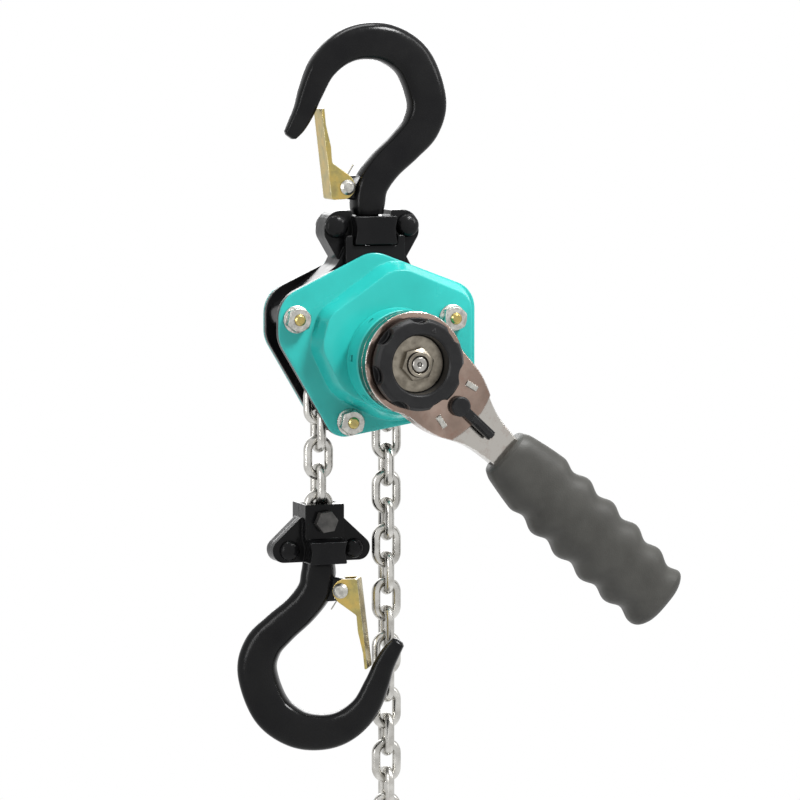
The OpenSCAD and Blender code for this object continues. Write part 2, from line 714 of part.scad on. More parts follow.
// Corners of the dome drawn in towards its middle, by the softened edge and by the wall
dome_mid = [8, -123];
function toward(c, d) =
    let (v = [c[0], c[1]] - dome_mid, k = 1 - d / norm(v)) [dome_mid[0] + v[0] * k, dome_mid[1] + v[1] * k, c[2]];
function dome_soft(c) = toward(c, 1.8);
function dome_wall(c) = toward(c, 2.2);

// Round brake cover: a ring with a turned-in lip and small slots for water to leave
module brake_cover() {
    color("#38c6b4") at_shaft() difference() {
        turned([[collar_r - 1.5, dome_y], [collar_r + 0.4, dome_y], [collar_r, dome_y + 1.2],
                [collar_r, brake_cover_y - 1], [collar_r - 0.9, brake_cover_y], [19.4, brake_cover_y],
                [19.4, brake_cover_y - 1.3], [collar_r - 1.5, brake_cover_y - 1.3]]);
        for (a = [128, 176, 224, 300]) rotate([0, -a, 0])
            translate([collar_r - 3, -dome_y - 6.4, -1.4]) cube([6, 2.2, 2.8]);
    }
}
module rear_cover() {
    back = plate_out;
    color("#38c6b4") difference() {
        union() {
            stand(back + sheet_t, sheet_t) polygon(rounded(rear_corners, 7));
            hull() {
                stand(back + 1.6, 0.1) polygon(rounded([[-25.5, -98, 10], [24, -98, 10], [24, -146, 12], [-25.5, -146, 12]], 7));
                stand(back + rear_cover_h, 0.1)
                    polygon(rounded([[-22, -101.6, 9], [20.4, -101.6, 9], [20.4, -142, 11], [-22, -142, 11]], 7));
            }
        }
        hull() {
            stand(back + 1.7 - sheet_t, 0.3)
                polygon(rounded([[-24, -99.5, 8.5], [22.5, -99.5, 8.5], [22.5, -144.5, 10.5], [-24, -144.5, 10.5]], 7));
            stand(back + rear_cover_h - sheet_t, 0.1)
                polygon(rounded([[-20.8, -102.8, 8], [19.2, -102.8, 8], [19.2, -140.8, 10], [-20.8, -140.8, 10]], 7));
        }
        for (p = stay_places) translate([p[0], 0, p[1]]) bar_y(stay_hole_r, 40, 0);
    }
}

// Stay bolts: the yoke's eyes and the chain guide on them keep the plates apart
function stay_front(i) = i == 1 ? dome_y : flange_y;
module stay_bolts() {
    color("goldenrod") for (i = [0:2]) translate([stay_places[i][0], 0, stay_places[i][1]]) {
        turned([[0, -plate_out - sheet_t - 6.4], [stay_d / 2 - 0.7, -plate_out - sheet_t - 6.4], [stay_d / 2, -plate_out - sheet_t - 5.7],
                [stay_d / 2, stay_front(i) + 5.7], [stay_d / 2 - 0.7, stay_front(i) + 6.4], [0, stay_front(i) + 6.4]]);
        if (i == 1) bar_y(stay_d / 2 + 1.5, -plate_out, -dome_y + sheet_t);
    }
}
module stay_nut(y0, direction) {
    across = 10;
    rotate([direction > 0 ? 180 : 0, 0, 0]) difference() {
        union() {
            turned([[0, y0], [6, y0], [6, y0 + 0.7], [5.2, y0 + 1.2], [0, y0 + 1.2]]);
            intersection() {
                hexagon_y(across, -y0 - 0.6, -y0 - 5.2, 20);
                turned([[0, y0], [5.6, y0], [5.6, y0 + 4.4], [4.9, y0 + 5.2], [0, y0 + 5.2]]);
            }
        }
        bar_y(stay_d / 2, 1, -y0 - 7);
    }
}
module stay_nuts() {
    color("lightgray") for (i = [0:2]) translate([stay_places[i][0], 0, stay_places[i][1]]) {
        stay_nut(stay_front(i), -1);
        stay_nut(plate_out + sheet_t, 1);
    }
}

// Chain guide: a block between the falls that strips the chain from the wheel, on the lower stay bolt
guide_corners = [[-13.4, -136, 0.3], [-14.2, -150, 3], [-16.9, -157.5, 2], [-16.4, -161.4, 2.4],
                 [-7, -161.4, 4], [-1.2, -150, 4], [-1.6, -136, 0.3]];
module chain_guide() {
    color("dimgray") difference() {
        stand(plate_in - 0.2, plate_gap - 0.4) polygon(rounded(guide_corners, 5));
        at_sheave() bar_y(rim_r + 0.7, 20, -20);
        translate([stay_places[2][0], 0, stay_places[2][1]]) bar_y(stay_d / 2, 20, -20);
    }
}

// ---- bottom block ----

block_y = 8.8;
block_box_y = 14;
block_h = block_top - block_bottom;
flare = [[-23.2, -18.6, 5], [-21, -25.5, 5], [21, -25.5, 5], [23.2, -18.6, 5], [9.4, -5.8, 1], [-9.4, -5.8, 1]];
flare_rivet = [14.8, -20.2];
waisted = [[-8.6, -16, 0.4], [-7.4, -20.6, 8], [-8.6, -block_h, 0.6], [8.6, -block_h, 0.6],
           [7.4, -20.6, 8], [8.6, -16, 0.4], [8.9, -14.6, 0.4], [8.9, 0, 0.5], [-8.9, 0, 0.5], [-8.9, -14.6, 0.4]];
side_profile = [[0, 0], [-block_y, 0], [-block_y, -15], [-block_box_y, -16.2], [-block_box_y, -block_h], [0, -block_h]];
module block_half(front) {
    translate([load_fall_x, 0, block_top]) difference() {
        union() {
            stand(front ? 0 : 4.4, 4.4) polygon(rounded(flare, 6));
            intersection() {
                stand(front ? 0 : 20, 20) polygon(rounded(waisted, 5));
                rotate([0, 0, front ? 0 : 180]) translate([-15, 0, 0]) rotate([90, 0, 90])
                    linear_extrude(30) polygon(side_profile);
            }
        }
        translate([-8, -2.7, -14.4]) cube([16, 5.4, 15]);
        translate([-3.3, -5.8, -3]) cube([6.6, 11.6, 4]);
        translate([0, 0, bolt_z - block_top]) bar_y(bolt_r, 20, -20);
        for (s = [1, -1]) translate([s * flare_rivet[0], 0, flare_rivet[1]]) bar_y(2.5, 20, -20);
        translate([0, 0, -block_h - 1]) cylinder(r = swivel_r, h = 8);
        translate([0, 0, 4.35 - block_h]) cylinder(r = collar_hole_r, h = 6);
    }
}
module block_front_half() {
    color("#1a1a1b") block_half(true);
}
module block_rear_half() {
    color("#1a1a1b") block_half(false);
}
module block_rivets() {
    color("#111112") for (s = [1, -1])
        translate([load_fall_x + s * flare_rivet[0], 0, block_top + flare_rivet[1]]) dome_rivet(4.4, 2.5, 4.4, 2.6);
}
module chain_bolt() {
    color("#3a3a3a") translate([load_fall_x, 0, bolt_z]) {
        bar_y(bolt_r, -block_y, block_y + 5.5);
        hexagon_y(8.6, -block_y, -block_y - 4, 8);
    }
}
module chain_bolt_nut() {
    color("#3a3a3a") translate([load_fall_x, 0, bolt_z]) difference() {
        hexagon_y(8.6, block_y, block_y + 4.6, 8);
        bar_y(bolt_r, block_y - 1, block_y + 6);
    }
}

// ---- hooks ----

// Catmull-Rom value between stations b and c
function spline(a, b, c, d, t) =
    0.5 * (2 * b + (c - a) * t + (2 * a - 5 * b + 4 * c - d) * t * t + (3 * b - a - 3 * c + d) * t * t * t);
function at_station(i) = hook_stations[max(0, min(len(hook_stations) - 1, i))];
function hook_point(s) =
    let (i = min(len(hook_stations) - 2, floor(s)))
    spline(at_station(i - 1), at_station(i), at_station(i + 1), at_station(i + 2), s - i);
function hook_ring(s) =
    let (last = len(hook_stations) - 1,
         p = hook_point(s),
         d = hook_point(min(last, s + 0.05)) - hook_point(max(0, s - 0.05)),
         across = unit([d[1], -d[0]]))
    [for (k = [0:hook_sides - 1])
        let (c = cos(360 * k / hook_sides), q = sin(360 * k / hook_sides),
             w = p[2] / 2 * sign(c) * pow(abs(c), hook_squareness),
             t = p[3] / 2 * sign(q) * pow(abs(q), hook_squareness))
        [p[0] + across[0] * w, -t, p[1] + across[1] * w]];
module hook_body() {
    last = len(hook_stations) - 1;
    difference() {
        union() {
            swept([for (i = [0:last * hook_steps]) hook_ring(i / hook_steps)]);
            translate([0, 0, shank_end_z]) cylinder(r = shank_r, h = 12);
            translate([latch_pivot[0], 0, latch_pivot[1]]) bar_y(4.2, 3.4, -3.4);
            stand(3.4, 6.8) polygon([[latch_pivot[0] - 2, -51.6], [latch_pivot[0] + 2, -59.4], [-3, -62], [0, -50]]);
        }
        translate([latch_pivot[0], 0, latch_pivot[1]]) bar_y(1.6, 10, -10);
    }
}
module hook_collar() {
    translate([0, 0, shank_end_z]) difference() {
        cylinder(r = hook_collar_r, h = 5.4);
        translate([0, 0, -1]) cylinder(r = shank_r, h = 9);
    }
}
// Latch: a folded channel. The spine lies inside the hook's tip, and the cheeks widen
// downwards to hold the bolt
latch_sheet = 1.3;
latch_outline = [[-18.2, -60.7, 1.2], [-10.4, -60.3, 4.6], [-6.2, -55.6, 4.5], [-9.6, -50.4, 4.6], [-18, -44.6, 1.5],
                 [-18.6, -37.4, 8], [-20.9, -28, 8], [-21.6, -20.9, 0.3], [-22.9, -20.9, 0.6]];
latch_hollow = [[-16.7, -63], [-18.8, -44], [-19.6, -37.6], [-20.2, -33], [-21.7, -19.9], [-10, -19.9], [0, -45], [0, -63]];
module latch() {
    inner = latch_half_w - latch_sheet;
    difference() {
        stand(latch_half_w, 2 * latch_half_w) polygon(rounded(latch_outline, 6));
        stand(inner, 2 * inner) polygon(latch_hollow);
        translate([latch_pivot[0], 0, latch_pivot[1]]) bar_y(1.62, 10, -10);
    }
}
module latch_bolt() {
    translate([latch_pivot[0], 0, latch_pivot[1]]) {
        bar_y(1.55, latch_half_w, -latch_half_w);
        turned([[0, latch_half_w], [3.4, latch_half_w], [3.4, latch_half_w + 0.6], [2.2, latch_half_w + 1.6], [0, latch_half_w + 1.6]]);
        hexagon_y(5.5, latch_half_w, latch_half_w + 2.6, 10);
    }
}
// Torsion spring: a turn on each side of the lug, with a long and a short leg along the shank
module latch_spring() {
    translate([latch_pivot[0], 0, latch_pivot[1]]) for (s = [1, -1]) {
        translate([0, s * 3.8, 0]) rotate([90, 0, 0]) rotate_extrude() translate([2.3, 0]) circle(0.3);
        rotate([0, s > 0 ? 32 : 40, 0]) translate([0, s * 3.8, 2.3]) cylinder(r = 0.28, h = s > 0 ? 9 : 2.6);
    }
}
module place_bottom() {
    translate([load_fall_x, 0, block_bottom - 67.6]) rotate([0, 0, bottom_hook_turn]) rotate([0, 180, 0]) children();
}

module top_hook() {
    color("#141415") hook_body();
}
module top_hook_collar() {
    color("dimgray") hook_collar();
}
module top_latch() {
    color("#c9b26a") latch();
}
module top_latch_bolt() {
    color("lightgray") latch_bolt();
}
module top_latch_spring() {
    color("lightgray") latch_spring();
}
module bottom_hook() {
    color("#141415") place_bottom() hook_body();
}
module bottom_hook_collar() {
    color("dimgray") place_bottom() hook_collar();
}
module bottom_latch() {
    color("#c9b26a") place_bottom() latch();
}
module bottom_latch_bolt() {
    color("lightgray") place_bottom() latch_bolt();
}
module bottom_latch_spring() {
    color("lightgray") place_bottom() latch_spring();
}

rear_side_plate();
front_side_plate();
crosshead();
crosshead_rivets();
front_cover();
brake_cover();
rear_cover();
stay_bolts();
stay_nuts();
load_sheave();
sheave_bushes();
load_gear();
drive_pinion();
drive_shaft();
shaft_bush();
brake_hub();
friction_discs();
ratchet_disc();
brake_pawl();
brake_pawl_pin();
change_gear();
hand_wheel();
wheel_washer();
shaft_nut();
lever_front_shell();
lever_rear_shell();
lever_stakes();
lever_grip();
direction_selector();
change_pawl();
detent_plunger();
detent_spring();
chain_guide();
wrapped_chain();
load_link();
load_chain();
slack_link();
slack_chain();
chain_end_ring();
block_front_half();
block_rear_half();
block_rivets();
chain_bolt();
chain_bolt_nut();
top_hook();
top_hook_collar();
top_latch();
top_latch_bolt();
top_latch_spring();
bottom_hook();
bottom_hook_collar();
bottom_latch();
bottom_latch_bolt();
bottom_latch_spring();
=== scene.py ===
import bpy
import json
import math
import numpy as np
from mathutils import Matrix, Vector


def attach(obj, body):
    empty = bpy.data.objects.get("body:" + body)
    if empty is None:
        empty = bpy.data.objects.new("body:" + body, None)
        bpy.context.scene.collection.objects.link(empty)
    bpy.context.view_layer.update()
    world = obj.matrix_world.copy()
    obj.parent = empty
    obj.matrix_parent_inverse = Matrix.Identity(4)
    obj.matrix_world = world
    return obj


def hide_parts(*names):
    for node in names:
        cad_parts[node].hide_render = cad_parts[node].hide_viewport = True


# Lever chain hoist. The CAD solids carry the shape and the joints, and this script dresses them.
# The scene is in metres, and outlines are in millimetres until they are multiplied by mm. A ring
# is one closed row of points, and a skin is a list of rings.

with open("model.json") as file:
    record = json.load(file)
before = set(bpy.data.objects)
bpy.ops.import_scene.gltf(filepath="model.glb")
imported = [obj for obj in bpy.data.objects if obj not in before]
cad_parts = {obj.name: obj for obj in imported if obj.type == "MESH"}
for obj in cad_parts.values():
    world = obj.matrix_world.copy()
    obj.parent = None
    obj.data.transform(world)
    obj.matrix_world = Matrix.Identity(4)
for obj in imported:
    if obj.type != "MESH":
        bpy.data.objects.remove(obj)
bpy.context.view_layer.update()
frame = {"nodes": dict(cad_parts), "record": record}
print("frame loaded", len(frame["nodes"]), "nodes")
mm = 0.001


# Quads between neighbouring rings, each ring closed on itself, with optional end caps
def skinFaces(ringCount, pointCount, capStart, capEnd):
    ring, point = np.meshgrid(np.arange(ringCount - 1), np.arange(pointCount), indexing="ij")
    nextPoint = (point + 1) % pointCount
    quads = np.stack([ring * pointCount + point, (ring + 1) * pointCount + point,
                      (ring + 1) * pointCount + nextPoint, ring * pointCount + nextPoint], -1)
    faces = quads.reshape(-1, 4).tolist()
    if capStart:
        faces.append(list(range(pointCount)))
    if capEnd:
        faces.append(list(range((ringCount - 1) * pointCount, ringCount * pointCount))[::-1])
    return faces


# Smooth piece made of rings; it rides on a body and may stand in for a CAD node
def addSkin(name, rings, material, body, node=None, capStart=True, capEnd=True):
    mesh = bpy.data.meshes.new(name)
    mesh.from_pydata(rings.reshape(-1, 3), [], skinFaces(rings.shape[0], rings.shape[1], capStart, capEnd))
    mesh.update()
    mesh.polygons.foreach_set("use_smooth", np.ones(len(mesh.polygons), bool))
    mesh.materials.append(material)
    piece = bpy.data.objects.new(name, mesh)
    bpy.context.scene.collection.objects.link(piece)
    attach(piece, body)
    if node:
        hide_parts(node)


# Catmull-Rom curve through the rows of a table, sampled with the given number of steps per span
def splineTable(table, steps):
    rows = np.asarray(table, float)
    padded = np.vstack([rows[:1], rows, rows[-1:]])
    out = []
    for span in range(len(rows) - 1):
        a, b, c, d = padded[span:span + 4]
        t = np.linspace(0, 1, steps, endpoint=False)[:, None]
        out.append(0.5 * (2 * b + (c - a) * t + (2 * a - 5 * b + 4 * c - d) * t ** 2
                          + (3 * b - a - 3 * c + d) * t ** 3))
    out.append(rows[-1:])
    return np.vstack(out)


# Outline of a polygon whose corners carry radii, each corner a tangent arc
def roundedOutline(corners, steps):
    corners = np.asarray(corners, float)
    out = []
    for at, before, after in zip(corners, np.roll(corners, 1, 0), np.roll(corners, -1, 0)):
        a = (before - at)[:2] / np.linalg.norm((before - at)[:2])
        b = (after - at)[:2] / np.linalg.norm((after - at)[:2])
        half = math.acos(np.clip(a @ b, -1, 1)) / 2
        centre = at[:2] + (a + b) / np.linalg.norm(a + b) * at[2] / math.sin(half)
        start = at[:2] + a * at[2] / math.tan(half) - centre
        stop = at[:2] + b * at[2] / math.tan(half) - centre
        first = math.atan2(start[1], start[0])
        turn = math.atan2(start[0] * stop[1] - start[1] * stop[0], start @ stop)
        angle = first + turn * np.linspace(0, 1, steps)
        out.append(centre + at[2] * np.stack([np.cos(angle), np.sin(angle)], 1))
    return np.vstack(out)


# Distance from a centre to a closed outline along each direction: the farthest crossing of the
# ray with a side of the outline, where the side's own share lies from 0 to 1
def reachOf(outline, centre, angles):
    tiny = 1e-12
    a = outline - centre
    b = np.roll(a, -1, 0)
    direction = np.stack([np.cos(angles), np.sin(angles)], 1)
    edge = b - a
    cross = direction[:, None, 0] * edge[None, :, 1] - direction[:, None, 1] * edge[None, :, 0]
    cross = np.where(np.abs(cross) < tiny, tiny, cross)
    along = (a[None, :, 0] * edge[None, :, 1] - a[None, :, 1] * edge[None, :, 0]) / cross
    part = (a[None, :, 0] * direction[:, None, 1] - a[None, :, 1] * direction[:, None, 0]) / cross
    slack = 1e-9
    good = (along > 0) & (part >= -slack) & (part <= 1 + slack)
    return np.where(good, along, 0).max(1)


# Softens the inner corners of an open line of (position, level) points: each becomes a quadratic
# arc that starts and ends at a distance from it, at most half of the side
def softenLine(points, distances, steps):
    points = np.asarray(points, float)
    out = [points[:1]]
    for before, at, after, distance in zip(points[:-2], points[1:-1], points[2:], distances):
        back, ahead = before - at, after - at
        backLength, aheadLength = np.linalg.norm(back), np.linalg.norm(ahead)
        p = at + back / backLength * min(distance, backLength * 0.5)
        q = at + ahead / aheadLength * min(distance, aheadLength * 0.5)
        t = np.linspace(0, 1, steps)[:, None]
        out.append((1 - t) ** 2 * p + 2 * (1 - t) * t * at + t ** 2 * q)
    out.append(points[-1:])
    return np.vstack(out)


# Across and up for a circle that is squared up by raising cosine and sine to a power under one
def softCircle(count, power):
    angle = np.linspace(0, 2 * np.pi, count, endpoint=False)
    return [np.sign(wave) * np.abs(wave) ** power for wave in (np.cos(angle), np.sin(angle))]


# One output of a shader node; sums, differences and products of wires and numbers are wires too
class Wire:
    def __init__(self, tree, node, output=0):
        self.tree, self.node, self.socket = tree, node, node.outputs[output]

    def maths(self, operation, *values):
        return addNode(self.tree, "ShaderNodeMath", {"operation": operation}, dict(enumerate(values)))

    def __add__(self, other):
        return self.maths("ADD", self, other)

    def __sub__(self, other):
        return self.maths("SUBTRACT", self, other)

    def __rsub__(self, other):
        return self.maths("SUBTRACT", other, self)

    def __mul__(self, other):
        return self.maths("MULTIPLY", self, other)

    __radd__, __rmul__ = __add__, __mul__

    # 0 at low and 1 at high, held there beyond them
    def between(self, low, high):
        return addNode(self.tree, "ShaderNodeMapRange", {"clamp": True},
                       {"Value": self, "From Min": low, "From Max": high})


# Adds a node: its settings first, then a value or a link for each named or numbered socket
def addNode(tree, kind, settings=None, sockets=None, output=0):
    node = tree.nodes.new(kind)
    for key, value in (settings or {}).items():
        setattr(node, key, value)
    for key, value in (sockets or {}).items():
        plug(tree, value, node.inputs[key])
    return Wire(tree, node, output)


# A wire is linked to the socket, and anything else becomes its value
def plug(tree, value, socket):
    if isinstance(value, Wire):
        tree.links.new(value.socket, socket)
    else:
        socket.default_value = value


# Noise in the piece's own space, with lumps of the given size in metres
def noiseWire(tree, size, detail, rough=0.55):
    return addNode(tree, "ShaderNodeTexNoise", {}, {
        "Vector": addNode(tree, "ShaderNodeTexCoord", output="Object"), "Scale": 1 / size,
        "Detail": detail, "Roughness": rough})


# How far the rounded normal turns from the true one: 1 on a sharp edge, where the cosine between
# them has fallen to 0.78, and 0 on a flat, where it is over 0.995
def edgeWire(tree, radius):
    rounded = addNode(tree, "ShaderNodeBevel", {"samples": 6}, {"Radius": radius})
    true = addNode(tree, "ShaderNodeNewGeometry", output="Normal")
    likeness = addNode(tree, "ShaderNodeVectorMath", {"operation": "DOT_PRODUCT"},
                       {0: rounded, 1: true}, "Value")
    return likeness.between(0.995, 0.78)


# The first colour where the amount is 0, the second where it is 1
def mixColours(tree, amount, first, second):
    sides = [side if isinstance(side, Wire) else (*side, 1) for side in (first, second)]
    return addNode(tree, "ShaderNodeMix", {"data_type": "RGBA"}, {0: amount, 6: sides[0], 7: sides[1]}, 2)


# Distance of a point from a line along Y through the given point
def axisDistance(tree, point):
    flat = addNode(tree, "ShaderNodeMapping", {}, {
        "Vector": addNode(tree, "ShaderNodeTexCoord", output="Object"), "Scale": (1, 0, 1)})
    return addNode(tree, "ShaderNodeVectorMath", {"operation": "DISTANCE"}, {0: flat, 1: point}, "Value")


# What a finish has where its own settings don't say otherwise; a "blend" is the span of a noise
# over which it goes from none to all
usualFinish = {
    "metal": 0, "coat": 0, "coatRough": 0.05, "specular": 0.5, "toneBlend": (0.36, 0.64),
    "farTone": None, "farSoft": 0.0004, "wear": 0, "scuffSize": 0.004, "scuffBlend": (0.42, 0.66),
    "grime": 0, "dirtSize": 0.006, "dirtBlend": (0.5, 0.8), "reliefSize": 0.0012, "reliefDepth": 0.0001}


# One finish: two tones mixed by a broad noise, which on the chrome are a painted brown reflection,
# on the lever a third tone beyond a distance from the drive shaft, a lighter tone on the edges that
# is wear on most finishes and a painted edge highlight on the teal paint, dirt in patches, roughness
# that wanders by a noise of its own, and a fine relief over softened corners
def makeFinish(name, settings):
    s = {**usualFinish, **settings}
    material = bpy.data.materials.new(name)
    material.use_nodes = True
    tree = material.node_tree
    lumps = noiseWire(tree, s["toneSize"], 4).between(*s["toneBlend"])
    colour = mixColours(tree, lumps, s["tone"], s["secondTone"])
    if s["farTone"]:
        reach, soft = s["farReach"], s["farSoft"]
        far = axisDistance(tree, s["farFrom"]).between(reach - soft, reach + soft)
        colour = mixColours(tree, far, colour, s["farTone"])
    # Lighter tone on the edges, broken up by noise: wear on most finishes, and a painted edge highlight on
    # the teal paint
    if s["wear"]:
        edgePatches = noiseWire(tree, s["scuffSize"], 5, 0.7).between(*s["scuffBlend"])
        colour = mixColours(tree, edgeWire(tree, s["edge"]) * edgePatches * s["wear"], colour, s["wearTone"])
    if s["grime"]:
        dirt = noiseWire(tree, s["dirtSize"], 6, 0.75).between(*s["dirtBlend"])
        colour = mixColours(tree, dirt * s["grime"], colour, s["grimeTone"])
    dullness = noiseWire(tree, s["roughSize"], 4) * s["roughSwing"] + (s["rough"] - s["roughSwing"] / 2)
    softCorner = addNode(tree, "ShaderNodeBevel", {"samples": 6}, {"Radius": s["edge"]})
    relief = addNode(tree, "ShaderNodeBump", {}, {
        "Strength": s["relief"], "Distance": s["reliefDepth"], "Normal": softCorner,
        "Height": noiseWire(tree, s["reliefSize"], 3)})
    shader = tree.nodes["Principled BSDF"]
    for key, value in {"Base Color": colour, "Roughness": dullness, "Metallic": s["metal"],
                       "Coat Weight": s["coat"], "Coat Roughness": s["coatRough"],
                       "Specular IOR Level": s["specular"], "Normal": relief}.items():
        plug(tree, value, shader.inputs[key])
    return material


# The lighter teal of the edge tone is a painted edge highlight along the cover's edges
tealPaint = makeFinish("tealPaint", {
    "tone": (0.022, 0.42, 0.385), "secondTone": (0.014, 0.34, 0.31), "toneSize": 0.05, "rough": 0.26,
    "roughSwing": 0.1, "roughSize": 0.02, "specular": 0.3, "coat": 0.25, "relief": 0.12,
    "reliefSize": 0.004, "reliefDepth": 0.0002, "wear": 0.25, "wearTone": (0.10, 0.60, 0.54), "edge": 0.0006})
blackPaint = makeFinish("blackPaint", {
    "tone": (0.004, 0.004, 0.0045), "secondTone": (0.007, 0.007, 0.0072), "toneSize": 0.02, "rough": 0.2,
    "roughSwing": 0.14, "roughSize": 0.01, "specular": 0.13, "relief": 0.45,
    "reliefSize": 0.004, "reliefDepth": 0.0003, "wear": 0.35, "wearTone": (0.05, 0.05, 0.05), "edge": 0.0008})
# The brownish tone and second tone of the chrome, on the lever's front plate within the far reach of the
# drive shaft, are a painted brown reflection; the grey far tone beyond is the plate's own colour
chromePlate = makeFinish("chromePlate", {
    "tone": (0.36, 0.27, 0.225), "secondTone": (0.23, 0.17, 0.14), "toneSize": 0.016, "rough": 0.14,
    "farTone": (0.44, 0.42, 0.39), "farFrom": (0.0056, 0, -0.12979), "farReach": 0.0381,
    "roughSwing": 0.08, "roughSize": 0.006, "metal": 1, "relief": 0.2, "reliefSize": 0.004,
    "reliefDepth": 0.0002, "wear": 1.6, "wearTone": (0.85, 0.84, 0.82), "edge": 0.0009,
    "grime": 0.5, "grimeTone": (0.22, 0.10, 0.07)})
zincPlate = makeFinish("zincPlate", {
    "tone": (0.58, 0.57, 0.53), "secondTone": (0.34, 0.335, 0.31), "toneSize": 0.0025, "rough": 0.26,
    "roughSwing": 0.2, "roughSize": 0.002, "metal": 1, "relief": 0.3, "reliefSize": 0.0008, "edge": 0.0003,
    "wear": 0.3, "wearTone": (0.8, 0.79, 0.76), "grime": 0.4, "grimeTone": (0.2, 0.18, 0.14)})
yellowZinc = makeFinish("yellowZinc", {
    "tone": (0.50, 0.36, 0.11), "secondTone": (0.36, 0.33, 0.13), "toneSize": 0.006, "rough": 0.24,
    "roughSwing": 0.16, "roughSize": 0.004, "metal": 1, "relief": 0.3, "reliefSize": 0.002, "edge": 0.0004,
    "wear": 1.4, "wearTone": (0.86, 0.80, 0.58), "grime": 0.7, "grimeTone": (0.26, 0.13, 0.06)})
chainSteel = makeFinish("chainSteel", {
    "tone": (0.60, 0.59, 0.56), "secondTone": (0.42, 0.41, 0.385), "toneSize": 0.005, "rough": 0.27,
    "roughSwing": 0.16, "roughSize": 0.003, "metal": 1, "relief": 0.25, "reliefSize": 0.003, "edge": 0.0002,
    "grime": 0.5, "grimeTone": (0.20, 0.18, 0.14)})
wornSteel = makeFinish("wornSteel", {
    "tone": (0.30, 0.27, 0.22), "secondTone": (0.17, 0.15, 0.12), "toneSize": 0.004, "rough": 0.34,
    "roughSwing": 0.2, "roughSize": 0.003, "metal": 1, "relief": 0.4, "reliefSize": 0.0012, "edge": 0.0004,
    "wear": 0.8, "wearTone": (0.6, 0.59, 0.55), "grime": 0.7, "grimeTone": (0.08, 0.065, 0.05)})
darkSteel = makeFinish("darkSteel", {
    "tone": (0.085, 0.082, 0.078), "secondTone": (0.05, 0.049, 0.047), "toneSize": 0.004, "rough": 0.46,
    "roughSwing": 0.2, "roughSize": 0.003, "metal": 0.6, "relief": 0.5, "reliefSize": 0.0008, "edge": 0.0004,
    "wear": 0.5, "wearTone": (0.22, 0.21, 0.2)})
gearSteel = makeFinish("gearSteel", {
    "tone": (0.40, 0.39, 0.37), "secondTone": (0.30, 0.29, 0.27), "toneSize": 0.005, "rough": 0.34,
    "roughSwing": 0.16, "roughSize": 0.002, "metal": 1, "relief": 0.25, "reliefSize": 0.0008, "edge": 0.0003,
    "wear": 0.5, "wearTone": (0.6, 0.59, 0.57), "grime": 0.5, "grimeTone": (0.12, 0.09, 0.06)})
bushBronze = makeFinish("bushBronze", {
    "tone": (0.50, 0.30, 0.13), "secondTone": (0.40, 0.23, 0.10), "toneSize": 0.004, "rough": 0.35,
    "roughSwing": 0.14, "roughSize": 0.002, "metal": 1, "relief": 0.2, "edge": 0.0002})
brakeLining = makeFinish("brakeLining", {
    "tone": (0.16, 0.09, 0.05), "secondTone": (0.24, 0.15, 0.09), "toneSize": 0.0012, "rough": 0.85,
    "roughSwing": 0.1, "roughSize": 0.001, "relief": 0.6, "reliefSize": 0.0006, "edge": 0.0002})
blackMoulding = makeFinish("blackMoulding", {
    "tone": (0.008, 0.008, 0.0085), "secondTone": (0.012, 0.012, 0.0125), "toneSize": 0.008, "rough": 0.36,
    "roughSwing": 0.14, "roughSize": 0.004, "relief": 0.35, "reliefSize": 0.0007, "reliefDepth": 0.00008,
    "wear": 0.6, "wearTone": (0.10, 0.10, 0.10), "edge": 0.0006, "specular": 0.2})
greyRubber = makeFinish("greyRubber", {
    "tone": (0.040, 0.039, 0.035), "secondTone": (0.052, 0.051, 0.046), "toneSize": 0.012, "rough": 0.45,
    "roughSwing": 0.14, "roughSize": 0.004, "relief": 0.6, "reliefSize": 0.0006, "reliefDepth": 0.0001,
    "specular": 0.25, "edge": 0.0003})
print("finishes made")

finishOfSlot = {
    "teal_paint": tealPaint, "black_paint": blackPaint, "chrome_plate": chromePlate, "zinc_plate": zincPlate,
    "yellow_zinc": yellowZinc, "chain_steel": chainSteel, "dark_steel": darkSteel, "gear_steel": gearSteel,
    "bronze_bush": bushBronze, "friction_lining": brakeLining, "black_moulding": blackMoulding,
    "grey_grip": greyRubber}
# Nodes whose finish isn't the one of their slot
finishOfNode = {"wheel_washer": wornSteel, "shaft_nut": wornSteel, "lever_stakes": zincPlate}
slotOfNode = {part["node"]: part["material_slot"] for part in frame["record"]["subparts"]}
for nodeName, node in frame["nodes"].items():
    node.data.materials.clear()
    node.data.materials.append(finishOfNode.get(nodeName, finishOfSlot[slotOfNode[nodeName]]))
print("CAD nodes dressed")


# Stations of the forging: across, up, width in the hook's plane and thickness. The lug's corners
# are across, up and radius, its levels are depth and share of the outline, and the shank's rows
# are radius and height
hookSettings = {
    "stations": [
        (0, -67.4, 13.8, 12.8), (0, -62, 15.2, 14.2), (1.6, -54.5, 15.2, 14.2), (8, -46, 15, 13.4),
        (17.4, -37.5, 15.6, 13), (25, -29, 16.8, 12.8), (27.5, -17.6, 17.6, 12.8), (21.5, -1.5, 17.8, 12.8),
        (10.6, 6.6, 17.4, 12.6), (-1.4, 8.2, 16.2, 12.2), (-12, 5, 14.6, 11.6), (-20.8, -2.9, 12.6, 10.8),
        (-25.9, -13.2, 11, 9.2), (-29.1, -21.6, 9.4, 7.8), (-32.6, -28.2, 8.2, 7), (-35.6, -32.4, 6.2, 5.4)],
    "stepsPerSpan": 10, "around": 48, "squareness": 0.64, "share": 0.982, "noseReach": 0.9, "noseShare": 0.6,
    "lug": [(-3, -50, 1), (-2.4, -62, 1), (-12.2, -60, 4.1), (-15.9, -54.5, 4.1), (-10, -50.6, 3)],
    "lugSteps": 9, "lugLevels": [(-3.4, 0.97), (-3.1, 1), (3.1, 1), (3.4, 0.97)],
    "shank": [(4.4, -77.4), (5, -76.8), (5, -67.2)], "shankAround": 40, "bottomTurn": -30}


